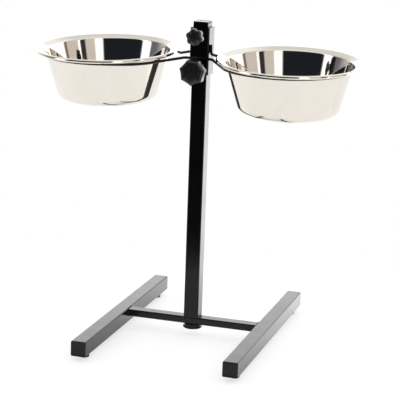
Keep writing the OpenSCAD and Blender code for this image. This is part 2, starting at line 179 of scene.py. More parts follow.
def split_by_camera(tree, mirrored, seen):
    """Shows one shader to the camera and another to every other ray."""
    camera_ray = new_node(tree, "ShaderNodeLightPath").outputs["Is Camera Ray"]
    sockets = {0: camera_ray, 1: mirrored.outputs[0], 2: seen.outputs[0]}
    return feed(tree, new_node(tree, "ShaderNodeMixShader"), sockets).outputs[0]


print("shader helpers: feed, calculate, product, map_range, soft_edge, mix_colours")

# %% [markdown]
# What lies above and below the walls is mixed in zone by zone, each with a soft mask over the view
# direction. The top of the back wall is less bright. The ceiling starts higher up in front and
# stays open at the back, and a soft lamp hangs straight above. The ground is pale far below, and
# also low behind the stand, so that the ends of the bowls' walls stand out from the white. A
# dimmer band lies where the floor meets the wall far behind. The camera itself sees plain white.

# %% Studio room
WALL_GAIN, ROOM_RISE, GROUND_SLANT = 4.0, 0.35, 0.15
HIGH_BACK, CEILING, TOP_LIGHT = (0.30, 0.30, 0.298), (0.224, 0.222, 0.218), (0.27, 0.27, 0.268)
LOW_FLOOR, FAR_EDGE = (0.285, 0.285, 0.285), (0.33, 0.33, 0.33)
# Soft edges of the zones, in parts of a direction that has the length 1
TOWARDS_BACK_Y, HIGH_BACK_Z = (0.35, 0.50), (0.33, 0.41)
CEILING_Z, CEILING_Z_LESS_X, LAMP_Z = (0.36, 0.60), (0.68, 0.88), (0.87, 0.94)
GROUND_Z, LOW_BACK_Z, LOW_BACK_Y = (-0.42, -0.56), (-0.22, -0.245), (0.05, 0.20)
FAR_EDGE_TOP, FAR_EDGE_FOOT, FAR_EDGE_Y = (0.15, 0.09), (-0.13, -0.07), (0.78, 0.88)


def add_studio():
    world = bpy.data.worlds.new("studio")
    bpy.context.scene.world = world
    world.use_nodes = True
    tree = world.node_tree
    tree.nodes.clear()
    x, y, z = split_axes(tree, place_of(tree, "Generated"))
    compass = calculate(tree, "ARCTAN2", x, calculate(tree, "MULTIPLY", y, -1))
    ramp = new_node(tree, "ShaderNodeValToRGB")
    feed(tree, ramp, {"Fac": map_range(tree, compass, -pi, pi)})
    stops = ramp.color_ramp.elements
    while len(stops) < len(WALLS):
        stops.new(1.0)
    for stop, (degrees, colour) in zip(stops, WALLS):
        stop.position = (degrees + 180) / 360
        stop.color = (*colour, 1)
    high_back = product(tree, soft_edge(tree, z, HIGH_BACK_Z), soft_edge(tree, y, TOWARDS_BACK_Y))
    height = calculate(tree, "MULTIPLY_ADD", calculate(tree, "MINIMUM", y, 0), ROOM_RISE, z)
    left_and_up = soft_edge(tree, calculate(tree, "SUBTRACT", z, x), CEILING_Z_LESS_X)
    in_front = soft_edge(tree, y, TOWARDS_BACK_Y[::-1])
    open_back = calculate(tree, "MAXIMUM", left_and_up, in_front)
    covered = calculate(tree, "MINIMUM", soft_edge(tree, height, CEILING_Z), open_back)
    slant = calculate(tree, "MULTIPLY_ADD", x, GROUND_SLANT, z)
    low_back = product(tree, soft_edge(tree, slant, LOW_BACK_Z), soft_edge(tree, y, LOW_BACK_Y))
    ground = calculate(tree, "MAXIMUM", soft_edge(tree, z, GROUND_Z), low_back)
    far_band = [soft_edge(tree, z, FAR_EDGE_TOP), soft_edge(tree, z, FAR_EDGE_FOOT)]
    far_edge = product(tree, *far_band, soft_edge(tree, y, FAR_EDGE_Y))
    zones = (
        (high_back, HIGH_BACK), (covered, CEILING), (soft_edge(tree, z, LAMP_Z), TOP_LIGHT),
        (ground, LOW_FLOOR), (far_edge, FAR_EDGE),
    )
    painted = ramp.outputs["Color"]
    for mask, colour in zones:
        painted = mix_colours(tree, mask, painted, colour)
    room = new_node(tree, "ShaderNodeBackground")
    feed(tree, room, {"Color": painted, "Strength": WALL_GAIN})
    paper = feed(tree, new_node(tree, "ShaderNodeBackground"), {"Color": (1, 1, 1, 1)})
    feed(tree, new_node(tree, "ShaderNodeOutputWorld"), {0: split_by_camera(tree, room, paper)})
    return len(zones)


bpy.context.scene.view_settings.view_transform = "Standard"
print("studio room:", add_studio(), "zones over the walls")

# %% [markdown]
# The floor is a pale sheet of studio paper. It is a stage object and no part of the stand. Its rim
# fades out, so that no edge of paper shows from any side, and it ends well before the camera:
# beyond it the lacquer mirrors the dark room, as on the real column, whose front is black. The
# Light Path node splits the paper in two: the camera sees it nearly white with a faint shadow.
# Mirrors see it glow evenly. Near the stand it also has a painted sheen, an emission at low angles
# that is brighter behind and to the right, which gives the tubes their pale sides.

# %% Floor
FLOOR_HALF_WIDTH, FLOOR_FRONT, FLOOR_BACK, FLOOR_FADE = 1.2, -0.52, 0.50, 0.12
PAPER_SURFACE = {"Roughness": 0.8, "Specular IOR Level": 0.1}
SEEN_TONE, SEEN_GLOW, MIRRORED_TONE, EVEN_GLOW = 0.45, 0.66, 0.90, 0.31
# The sheen is painted light: the paper emits it, brighter behind and to the right of the stand
RIGHT_SHEEN, RIGHT_X, RIGHT_Y = 0.6, (0.10, 0.22), (-0.40, -0.20)
BACK_SHEEN, BACK_Y, LOW_VIEW = 1.6, (-0.15, 0.40), (0.45, 0.65)
NEAR_LEFT, NEAR_RIGHT = (-0.70, -0.40), (0.75, 0.50)


def paper_net(tree):
    """The paper's two looks, with the painted sheen and the fading rim."""
    x, y = split_axes(tree, place_of(tree, "Object"))[:2]
    from_right = map_range(tree, x, *RIGHT_X, 0, RIGHT_SHEEN)
    from_behind = map_range(tree, y, *BACK_Y, 0, BACK_SHEEN)
    glow = calculate(tree, "MULTIPLY_ADD", from_right, map_range(tree, y, *RIGHT_Y), from_behind)
    facing = new_node(tree, "ShaderNodeLayerWeight").outputs["Facing"]
    marks = ((x, NEAR_LEFT), (x, NEAR_RIGHT), (facing, LOW_VIEW))
    strength = product(tree, *[soft_edge(tree, source, edge) for source, edge in marks])
    # Painted sheen: the glow at low angles near the stand plus an even glow, emitted for mirrors
    # only
    sheen = calculate(tree, "MULTIPLY_ADD", glow, strength, EVEN_GLOW)
    rims = (
        (x, (-FLOOR_HALF_WIDTH, FLOOR_FADE - FLOOR_HALF_WIDTH)),
        (x, (FLOOR_HALF_WIDTH, FLOOR_HALF_WIDTH - FLOOR_FADE)),
        (y, (FLOOR_FRONT, FLOOR_FRONT + FLOOR_FADE)),
        (y, (FLOOR_BACK, FLOOR_BACK - FLOOR_FADE)),
    )
    fading = product(tree, *[soft_edge(tree, source, edge) for source, edge in rims])
    seen, mirrored = tree.nodes["Principled BSDF"], new_node(tree, "ShaderNodeBsdfPrincipled")
    for paper, tone, light, gain in (
        (seen, SEEN_TONE, (1, 1, 1, 1), SEEN_GLOW), (mirrored, MIRRORED_TONE, sheen, 1),
    ):
        feed(tree, paper, {**PAPER_SURFACE, "Base Color": (tone, tone, tone, 1), "Alpha": fading})
        feed(tree, paper, {"Emission Color": light, "Emission Strength": gain})
    feed(tree, tree.nodes["Material Output"], {0: split_by_camera(tree, mirrored, seen)})


def add_floor():
    bpy.ops.mesh.primitive_plane_add(size=1, location=(0, (FLOOR_FRONT + FLOOR_BACK) / 2, 0))
    floor = bpy.context.object
    floor.name = "studio_floor"
    floor.scale = (2 * FLOOR_HALF_WIDTH, FLOOR_BACK - FLOOR_FRONT, 1)
    bpy.ops.object.transform_apply(location=True, rotation=True, scale=True)
    material = bpy.data.materials.new("studio_paper")
    material.use_nodes = True
    paper_net(material.node_tree)
    floor.data.materials.append(material)
    return floor


floor = add_floor()
print("floor paper:", rounded(floor.dimensions, 2))

# %% [markdown]
# ## Finishes
# Five finishes dress the stand: black lacquer, black moulded plastic, rubber, zinc plate and
# polished stainless steel. The plastic comes in three grades: glossier on the knobs, glossiest on
# the caps. Three effects are shared, so each is a node group built once: a slow unevenness for
# colour and gloss, a fine grain for the bump, and a mask of rubbed edges. The groups hand out
# values that change over the surface, and every shader stays in its own material with its fixed
# values typed on its own sockets.

# %% Shared effects
def new_group(name, inputs, output):
    group = bpy.data.node_groups.new(name, "ShaderNodeTree")
    for label, value in inputs.items():
        socket = group.interface.new_socket(
            name=label, in_out="INPUT", socket_type="NodeSocketFloat")
        socket.default_value = value
    group.interface.new_socket(name=output, in_out="OUTPUT", socket_type="NodeSocketFloat")
    put_out = group.nodes.new("NodeGroupOutput").inputs[output]
    return group, group.nodes.new("NodeGroupInput").outputs, put_out


def make_unevenness():
    sockets = {"Scale": 40.0, "Low": 0.0, "High": 1.0}
    group, given, put_out = new_group("slow_unevenness", sockets, "Value")
    noise = feed(group, new_node(group, "ShaderNodeTexNoise"), {
        "Vector": place_of(group, "Object"), "Scale": given["Scale"], "Detail": 4, "Roughness": 0.6,
    })
    spread = map_range(group, noise.outputs["Fac"], 0.3, 0.7, given["Low"], given["High"])
    group.links.new(spread, put_out)
    return group


def make_grain():
    group, given, put_out = new_group("fine_grain", {"Scale": 900.0}, "Height")
    pattern = {"Vector": place_of(group, "Object"), "Scale": given["Scale"]}
    pebbles = feed(group, new_node(group, "ShaderNodeTexVoronoi", feature="SMOOTH_F1"), pattern)
    dust = feed(group, new_node(group, "ShaderNodeTexNoise"), {**pattern, "Detail": 3})
    both = calculate(group, "ADD", pebbles.outputs["Distance"], dust.outputs["Fac"])
    group.links.new(both, put_out)
    return group


def make_rubbed_edges():
    group, given, put_out = new_group("rubbed_edges", {"Amount": 0.5}, "Mask")
    rounding = feed(group, new_node(group, "ShaderNodeBevel", samples=4), {"Radius": 0.0006})
    flat = new_node(group, "ShaderNodeNewGeometry")
    turn = new_node(group, "ShaderNodeVectorMath", operation="DOT_PRODUCT")
    feed(group, turn, {0: rounding.outputs["Normal"], 1: flat.outputs["Normal"]})
    edge = map_range(group, turn.outputs["Value"], 0.995, 0.90)
    patches = feed(group, new_node(group, "ShaderNodeTexNoise"), {
        "Vector": place_of(group, "Object"), "Scale": 160, "Detail": 5,
    })
    patchy = map_range(group, patches.outputs["Fac"], 0.35, 0.65)
    group.links.new(product(group, edge, patchy, given["Amount"]), put_out)
    return group


unevenness, grain, rubbed_edges = make_unevenness(), make_grain(), make_rubbed_edges()
print("shared effects:", [group.name for group in (unevenness, grain, rubbed_edges)])


# %% Lacquer, plastic, rubber and zinc
def place_group(tree, group, **values):
    return feed(tree, new_node(tree, "ShaderNodeGroup", node_tree=group), values).outputs[0]


def add_bump(tree, shader, height, strength, distance):
    bump = new_node(tree, "ShaderNodeBump")
    feed(tree, bump, {"Strength": strength, "Distance": distance, "Height": height})
    feed(tree, shader, {"Normal": bump.outputs["Normal"]})


def new_finish(name, metallic=0.0, ior=1.5):
    material = bpy.data.materials.new(name)
    material.use_nodes = True
    tree = material.node_tree
    shader = feed(tree, tree.nodes["Principled BSDF"], {"Metallic": metallic, "IOR": ior})
    return material, tree, shader


GLOSS_PATCH = 1.7


def dark_finish(
    name, base, lifted, rubbed, gloss, patch, rub, pebble, strength, depth, ior=1.5,
):
    """A dark paint, plastic or rubber: uneven colour and gloss, rubbed edges, fine grain."""
    material, tree, shader = new_finish(name, ior=ior)
    mottled = mix_colours(tree, place_group(tree, unevenness, Scale=patch), base, lifted)
    worn = mix_colours(tree, place_group(tree, rubbed_edges, Amount=rub), mottled, rubbed)
    low, high = gloss
    uneven_gloss = place_group(tree, unevenness, Scale=patch * GLOSS_PATCH, Low=low, High=high)
    feed(tree, shader, {"Base Color": worn, "Roughness": uneven_gloss})
    add_bump(tree, shader, place_group(tree, grain, Scale=pebble), strength, depth)
    return material


black_lacquer = dark_finish(
    "black_lacquer", (0.0030, 0.0030, 0.0032), (0.0055, 0.0055, 0.0060), (0.030, 0.030, 0.031),
    gloss=(0.13, 0.21), patch=22, rub=0.35, pebble=520, strength=0.05, depth=0.0002, ior=1.33,
)
black_plastic = dark_finish(
    "black_plastic", (0.006, 0.006, 0.0065), (0.010, 0.010, 0.0105), (0.030, 0.030, 0.032),
    gloss=(0.36, 0.48), patch=60, rub=0.4, pebble=1500, strength=0.12, depth=0.00015, ior=1.38,
)
knob_plastic = dark_finish(
    "knob_plastic", (0.010, 0.010, 0.011), (0.015, 0.015, 0.016), (0.040, 0.040, 0.042),
    gloss=(0.24, 0.33), patch=70, rub=0.4, pebble=1800, strength=0.06, depth=0.0001,
)
cap_plastic = dark_finish(
    "cap_plastic", (0.004, 0.004, 0.0045), (0.007, 0.007, 0.0075), (0.024, 0.024, 0.026),
    gloss=(0.17, 0.25), patch=70, rub=0.4, pebble=1600, strength=0.05, depth=0.0001, ior=1.32,
)
black_rubber = dark_finish(
    "black_rubber", (0.008, 0.008, 0.008), (0.014, 0.014, 0.014), (0.026, 0.025, 0.024),
    gloss=(0.62, 0.78), patch=90, rub=0.5, pebble=1300, strength=0.2, depth=0.0002,
)


def make_zinc():
    material, tree, shader = new_finish("zinc_plated_steel", metallic=1.0)
    spangle = place_group(tree, unevenness, Scale=260)
    feed(tree, shader, {
        "Base Color": mix_colours(tree, spangle, (0.50, 0.51, 0.53), (0.66, 0.67, 0.68)),
        "Roughness": place_group(tree, unevenness, Scale=400, Low=0.24, High=0.42),
    })
    add_bump(tree, shader, place_group(tree, grain, Scale=2200), 0.1, 0.0001)
    return material


zinc_plate = make_zinc()
dark_finishes = (black_lacquer, black_plastic, knob_plastic, cap_plastic, black_rubber)
print("dark finishes and zinc:", [m.name for m in (*dark_finishes, zinc_plate)])

# %% [markdown]
# The bowls are spun and buffed stainless steel. Buffing leaves hair-fine rings round the bowl's
# axis, which blur the mirror a trace along one direction. The pattern has to follow that axis, so
# the Object coordinates are folded left onto right, moved to the bowl's centre and turned by the
# rings' pitch. Noise over radius and height then gives rings, and a slow wave round the axis
# breaks them up.

# %% Polished stainless steel
RING_Z, RING_TILT = 0.4725, radians(3.7)
BOWL_X, BOWL_Y, BOWL_SEAT, BOWL_LEAN = 0.153, -0.025, 0.00707, radians(0.753)
SLOW_WAVE = 0.004


def in_ring_plane(x, y, z):
    """Turns a point of the tilted ring plane into the frame."""
    level, rise = cos(RING_TILT), sin(RING_TILT)
    return Vector((x, y * level - z * rise, RING_Z + y * rise + z * level))


def join_axes(tree, *axes):
    made = new_node(tree, "ShaderNodeCombineXYZ")
    return feed(tree, made, dict(enumerate(axes))).outputs[0]


def make_stainless():
    material, tree, shader = new_finish("polished_stainless", metallic=1.0)
    x, y, z = split_axes(tree, place_of(tree, "Object"))
    centred = feed(tree, new_node(tree, "ShaderNodeMapping", vector_type="TEXTURE"), {
        "Vector": join_axes(tree, calculate(tree, "ABSOLUTE", x), y, z),
        "Location": in_ring_plane(BOWL_X, BOWL_Y, BOWL_SEAT),
        "Rotation": (RING_TILT, BOWL_LEAN, 0),
    })
    x, y, z = split_axes(tree, centred.outputs[0])
    radius = new_node(tree, "ShaderNodeVectorMath", operation="LENGTH")
    feed(tree, radius, {0: join_axes(tree, x, y)})
    around = calculate(tree, "MULTIPLY", calculate(tree, "ARCTAN2", y, x), SLOW_WAVE)
    lines = feed(tree, new_node(tree, "ShaderNodeTexNoise"), {
        "Vector": join_axes(tree, radius.outputs["Value"], z, around), "Scale": 1400, "Detail": 4,
    }).outputs["Fac"]
    smears = place_group(tree, unevenness, Scale=28)
    feed(tree, shader, {
        "Base Color": mix_colours(tree, smears, (0.707, 0.668, 0.606), (0.736, 0.699, 0.641)),
        "Roughness": map_range(tree, lines, 0.3, 0.7, 0.025, 0.075),
    })
    add_bump(tree, shader, lines, 0.02, 0.0001)
    return material


stainless = make_stainless()
print("stainless rings centred on", rounded(in_ring_plane(BOWL_X, BOWL_Y, BOWL_SEAT)))

# %% [markdown]
# ## The lacquered tubes
# The feet, the crossbar, the column and the sleeve are straight tubes with round corners. Their
# solids already have the right walls, corners and holes, so they stay and only take the finish.
# The parts inside the stand, such as the bolt and its nut, stay too.

# %% Finishes of the solids that stay
SOLID_FINISHES = {
    "left_foot_tube": black_lacquer,
    "right_foot_tube": black_lacquer,
    "crossbar": black_lacquer,
    "column_tube": black_lacquer,
    "slider_sleeve": black_lacquer,
    "column_base_insert": black_plastic,
    "base_nut": zinc_plate,
    "base_bolt": zinc_plate,
    "base_washer": black_lacquer,
}


def coat(obj, material):
    obj.data.materials.clear()
    obj.data.materials.append(material)


for name, material in SOLID_FINISHES.items():
    coat(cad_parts[name], material)
print("solids kept:", ", ".join(SOLID_FINISHES))

# %% [markdown]
# ## The bowls
# Each bowl is pressed from one sheet: a flat base with a round corner, a leaning wall, a tight
# neck, a flared rim whose edge is rolled under. A turned shape like this is best spun from its
# section. One vertex is extruded from point to point along the section, and the line is spun about
# the bowl's axis. A few extra points beside each bend keep the long straight faces from shading
# round. The bowl leans outwards by a trace, because its rolled edge rides on the rods near the
# sleeve.

# %% Section of a bowl
BOWL_TOP_R, BOWL_BASE_R, BOWL_HEIGHT = 0.103, 0.0805, 0.0835
RIM_R, BEAD_R, SHEET = 0.117, 0.0029, 0.0008
NECK_DROP, NECK_R, BASE_CORNER_R, RIM_FLARE = 0.004706, 0.004, 0.016, radians(20)
WALL_LEAN = atan2(BOWL_TOP_R - BOWL_BASE_R, BOWL_HEIGHT - NECK_DROP)
BASE_RING_R, CORNER_LEAD, NECK_LEAD = 0.03, 0.002, 0.0012
CORNER_STEPS, NECK_STEPS, ROLL_STEPS = 14, 10, 36


def arc_points(centre, radius, start, end, steps):
    """Points (across, up) of an arc, from one angle to another."""
    turns = [start + (end - start) * i / steps for i in range(steps + 1)]
    return [Vector((centre[0] + radius * cos(t), centre[1] + radius * sin(t))) for t in turns]


def round_corner(before, corner, after, radius, steps, lead=0.0):
    """Points that round a corner of an outline, with a lead-in point on either side."""
    to_before, to_after = (before - corner).normalized(), (after - corner).normalized()
    inner = acos(max(-1, min(1, to_before.dot(to_after))))
    take = radius / tan(inner / 2)
    centre = corner + (to_before + to_after).normalized() * radius / sin(inner / 2)
    first, last = corner + to_before * take, corner + to_after * take
    start = atan2(first.y - centre.y, first.x - centre.x)
    turn = (atan2(last.y - centre.y, last.x - centre.x) - start + pi) % (2 * pi) - pi
    bend = arc_points(centre, radius, start, start + turn, steps)
    return [first + to_before * lead] * (lead > 0) + bend + [last + to_after * lead] * (lead > 0)


def sheet_face(inward):
    """One face of the sheet from the axis out to the rolled edge, so far inside the outer face."""
    lean, flare = tan(WALL_LEAN), tan(RIM_FLARE)
    base = Vector((BOWL_BASE_R + inward * lean - inward / cos(WALL_LEAN), inward - BOWL_HEIGHT))
    rise = inward * (1 / cos(RIM_FLARE) - flare / cos(WALL_LEAN)) / (1 - lean * flare)
    neck = Vector((BOWL_TOP_R + rise * lean - inward / cos(WALL_LEAN), rise - NECK_DROP))
    axis = Vector((0, inward - BOWL_HEIGHT))
    along = Vector((cos(RIM_FLARE), sin(RIM_FLARE)))
    to_bead = neck - Vector((RIM_R - BEAD_R, -BEAD_R))
    passed = to_bead.dot(along)
    reach = -passed - sqrt(max(0, passed ** 2 - to_bead.length_squared + BEAD_R ** 2))
    edge = neck + along * reach
    corner = round_corner(axis, base, neck, BASE_CORNER_R - inward, CORNER_STEPS, CORNER_LEAD)
    bend = round_corner(base, neck, edge, NECK_R + inward, NECK_STEPS, NECK_LEAD)
    return [axis, axis + Vector((BASE_RING_R, 0))] + corner + bend + [edge]


def bowl_section():
    upper, lower = sheet_face(SHEET), sheet_face(0.0)
    middle = Vector((RIM_R - BEAD_R, -BEAD_R))
    end = atan2(lower[-1].y - middle.y, lower[-1].x - middle.x) - 2 * pi
    roll = arc_points(middle, BEAD_R, pi / 2 + RIM_FLARE, end, ROLL_STEPS)
    return upper[:-1] + roll + lower[-2::-1]


section = bowl_section()
print("bowl section:", len(section), "points, from", rounded(section[0]))


# %% Spin the bowls
BOWL_STEPS, WELD_GAP = 176, 1e-6


def take(obj):
    bpy.ops.object.select_all(action="DESELECT")
    obj.select_set(True)
    bpy.context.view_layer.objects.active = obj


def edit(obj, mode="VERT", picked="SELECT"):
    """Opens a piece in edit mode, with everything or nothing selected."""
    take(obj)
    bpy.ops.object.mode_set(mode="EDIT")
    bpy.ops.mesh.select_mode(type=mode)
    bpy.ops.mesh.select_all(action=picked)


def leave():
    bpy.ops.object.mode_set(mode="OBJECT")


def draw_line(name, points):
    """Draws an open line by extruding one vertex, a merged plane, from point to point."""
    bpy.ops.object.select_all(action="DESELECT")
    bpy.ops.mesh.primitive_plane_add(size=0.001, location=(0, 0, 0))
    line = bpy.context.object
    line.name = name
    edit(line)
    bpy.ops.mesh.merge(type="CENTER")
    bpy.ops.transform.translate(value=points[0])
    for here, there in zip(points, points[1:]):
        bpy.ops.mesh.extrude_region_move(TRANSFORM_OT_translate={"value": there - here})
    leave()
    return line


def tidy_mesh(obj):
    """Merges doubles, then turns every face outwards."""
    edit(obj)
    bpy.ops.mesh.remove_doubles(threshold=WELD_GAP)
    bpy.ops.mesh.normals_make_consistent(inside=False)
    leave()


def spin_section(name, outline, steps):
    """Spins a section of points (radius, height) about the z axis."""
    piece = draw_line(name, [Vector((p[0], 0, p[1])) for p in outline])
    edit(piece)
    bpy.ops.mesh.spin(steps=steps, angle=2 * pi, center=(0, 0, 0), axis=(0, 0, 1))
    leave()
    tidy_mesh(piece)
    return piece


def settle(obj, spot=(0, 0, 0), turn=(0, 0, 0)):
    """Puts a piece at its place and moves that place into its mesh."""
    obj.location, obj.rotation_euler = spot, turn
    take(obj)
    bpy.ops.object.transform_apply(location=True, rotation=True, scale=True)


def copy_of(obj, name):
    """A copy with its own mesh."""
    take(obj)
    bpy.ops.object.duplicate(linked=False)
    twin = bpy.context.object
    twin.name = name
    return twin


def dress(obj, material, body, slot, *nodes, sharp=40):
    """Last touch for every piece: shading, finish, the body it rides on, the solids it replaces."""
    take(obj)
    bpy.ops.object.shade_smooth_by_angle(angle=radians(sharp))
    coat(obj, material)
    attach(obj, body)
    if nodes:
        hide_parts(*nodes)
    return obj


right_bowl = spin_section("right_bowl_spun", section, BOWL_STEPS)
left_bowl = copy_of(right_bowl, "left_bowl_spun")
for bowl, side, word in ((left_bowl, -1, "left"), (right_bowl, 1, "right")):
    settle(bowl, turn=(0, side * BOWL_LEAN, 0))
    settle(bowl, in_ring_plane(side * BOWL_X, BOWL_Y, BOWL_SEAT), (RING_TILT, 0, 0))
    dress(bowl, stainless, word + "_bowl", "polished_stainless", word + "_bowl")
print("bowl faces:", len(right_bowl.data.polygons), "size", rounded(right_bowl.dimensions))

# %% [markdown]
# ## The ring wires
# Each ring is one bent rod: it starts welded across the sleeve's front, bends out, runs round the
# bowl and ends turned up on the sleeve's side. A rod is a line with a round section, so the line
# is drawn first and turned into a curve, whose bevel gives the thickness, and the curve becomes a
# mesh again. The left rod's points are the right one's with x reversed, but its end sits further
# back. In the photo the rods sag by some millimetres towards the sleeve, so the points there are
# lowered smoothly.

# %% Bend the rods
ROD_R, RING_R, TOUCH = 0.00225, 0.108, 0.01835
FRONT_BEND = Vector((0.023, -TOUCH, 0))
REAR_AIM_X, LEG_RISE, LEG_TOP = 0.029, 0.0065, 0.022
LEG_Y = {"left": 0.004, "right": -0.009}
BEND_R, LEG_BEND_R, RIM_PASS = 0.008, 0.005, 0.00255
SAG, SAG_START, SAG_END = 0.0026, 0.125, 0.048
RING_STEPS, BEND_STEPS, LEG_STEPS, MIDDLE_GAP = 84, 8, 6, 0.00005


def bend_corner(before, corner, after, radius, steps):
    """Points of a bend in space at a corner of the rod."""
    to_before, to_after = (before - corner).normalized(), (after - corner).normalized()
    inner = acos(to_before.dot(to_after))
    centre = corner + (to_before + to_after).normalized() * radius / sin(inner / 2)
    first = corner + to_before * radius / tan(inner / 2) - centre
    last = corner + to_after * radius / tan(inner / 2) - centre
    sweep = pi - inner
    points = []
    for i in range(steps + 1):
        t = i / steps
        points.append(centre + (first * sin((1 - t) * sweep) + last * sin(t * sweep)) / sin(sweep))
    return points


def sagged(side, x, y, z):
    """A point of a rod. Near the sleeve the weight of the bowls has bent the rod down a little."""
    share = min(1, max(0, (SAG_START - abs(x)) / (SAG_START - SAG_END)))
    return in_ring_plane(side * x, y, z) - Vector((0, 0, SAG * share * share * (3 - 2 * share)))


def rod_line(side, leg_y):
    centre, rear_aim = Vector((BOWL_X, BOWL_Y, 0)), Vector((REAR_AIM_X, leg_y, 0))
    leg_foot, leg_top = Vector((TOUCH, leg_y, LEG_RISE)), Vector((TOUCH, leg_y, LEG_TOP))
    to_front, to_rear = FRONT_BEND - centre, rear_aim - centre
    front = atan2(to_front.y, to_front.x) + acos(RING_R / to_front.length)
    rear = atan2(to_rear.y, to_rear.x) - acos(RING_R / to_rear.length)
    while rear < front:
        rear += 2 * pi
    turns = [front + (rear - front) * i / RING_STEPS for i in range(RING_STEPS + 1)]
    ring = [centre + RING_R * Vector((cos(t), sin(t), 0)) for t in turns]
    past_rim = sqrt((RIM_R + RIM_PASS) ** 2 - RING_R ** 2)
    rear_bend = ring[-1] + (rear_aim - ring[-1]).normalized() * past_rim
    points = [Vector((MIDDLE_GAP, -TOUCH, 0))]
    points += bend_corner(points[0], FRONT_BEND, ring[0], BEND_R, BEND_STEPS) + ring
    points += bend_corner(ring[-1], rear_bend, leg_foot, LEG_BEND_R, LEG_STEPS)
    points += bend_corner(rear_bend, leg_foot, leg_top, LEG_BEND_R, LEG_STEPS) + [leg_top]
    return [sagged(side, *p) for p in points]


def make_rod(name, points, radius, facets=5, ripple=0.0):
    """A round rod along a line of points. A ripple makes it swell at every fourth point."""
    rod = draw_line(name, points)
    take(rod)
    bpy.ops.object.convert(target="CURVE")
    rod = bpy.context.object
    rod.data.dimensions = "3D"
    rod.data.bevel_depth = radius
    rod.data.bevel_resolution = facets
    rod.data.use_fill_caps = True
    for i, point in enumerate(rod.data.splines[0].points):
        point.radius = 1 - ripple * (1 - cos(i * pi / 2)) / 2
    bpy.ops.object.convert(target="MESH")
    rod = bpy.context.object
    tidy_mesh(rod)
    return rod


for side, word in ((-1, "left"), (1, "right")):
    rod = make_rod(word + "_ring_rod", rod_line(side, LEG_Y[word]), ROD_R)
    dress(rod, black_lacquer, "slider", "black_lacquer", word + "_ring_wire", sharp=50)
    print(word, "rod faces:", len(rod.data.polygons), "reach", rounded(rod.dimensions))

# %% [markdown]
# ## The star knobs
# A star knob is one moulding: a head with lobes for the fingers and a round hub behind it. A
# cylinder with many sides is the start. The vertices between the lobes are picked by their angle
# and drawn towards the axis, onto the round hollows that the fingers grip, which gives the star.
# The back edge is bevelled. The wide round rim and the crowned face are made by extruding the face
# and shrinking it in steps, since a bevel as wide as that would fold over at the tips. A
# subdivision makes it flow.

# %% Mould the knobs
def pick(obj, kind, test):
    """Selects, in edit mode, the vertices, edges or faces that pass a test."""
    bpy.ops.mesh.select_all(action="DESELECT")
    mesh = bmesh.from_edit_mesh(obj.data)
    found = 0
    for item in getattr(mesh, kind):
        if test(item):
            item.select_set(True)
            found += 1
    mesh.select_flush_mode()
    bmesh.update_edit_mesh(obj.data)
    return found


def add_modifier(obj, kind, **settings):
    """Adds a modifier with its settings and applies it."""
    modifier = obj.modifiers.new(kind.lower(), kind)
    for setting, value in settings.items():
        setattr(modifier, setting, value)
    take(obj)
    bpy.ops.object.modifier_apply(modifier=modifier.name)


LOBE_SIDES, KNOB_BACK_ROUND, RIM_STEPS = 18, 0.0012, 6
HUB_R, HUB_H, HUB_EDGE, HUB_COVE, HUB_STEPS = 0.0075, 0.009, 0.0008, 0.001, 64
# The crowned face in steps: each one's size against the step before, and its share of the rise
CROWN = 0.0012
CROWN_STEPS = ((0.92, 0.22), (0.87, 0.30), (0.775, 0.26), (0.645, 0.15), (0.45, 0.07))
FACING, NEAR = 0.99, 1e-6


def step_face(rise, share):
    """Extrudes the picked face by a rise and shrinks it about the middle."""
    bpy.ops.mesh.extrude_region_move(TRANSFORM_OT_translate={"value": (0, 0, rise)})
    bpy.ops.transform.resize(value=(share, share, 1), center_override=(0, 0, 0))


def lobe_reach(turn, lobes, radius, hollow, hollow_r):
    """The edge's distance from the axis, at a turn from a lobe's tip towards the next hollow."""
    off = pi / lobes - turn
    middle = radius - hollow + hollow_r
    inside = hollow_r ** 2 - (middle * sin(off)) ** 2
    return min(radius, middle * cos(off) - sqrt(inside)) if inside > 0 else radius


def spin_hub(name):
    edge, cove = HUB_EDGE, HUB_COVE
    return spin_section(name, [
        (0, -HUB_H), (HUB_R - edge, -HUB_H), (HUB_R - edge * 0.3, -HUB_H + edge * 0.3),
        (HUB_R, -HUB_H + edge), (HUB_R, -cove), (HUB_R + cove, 0.0),
        (HUB_R + cove, cove), (0, cove),
    ], HUB_STEPS)


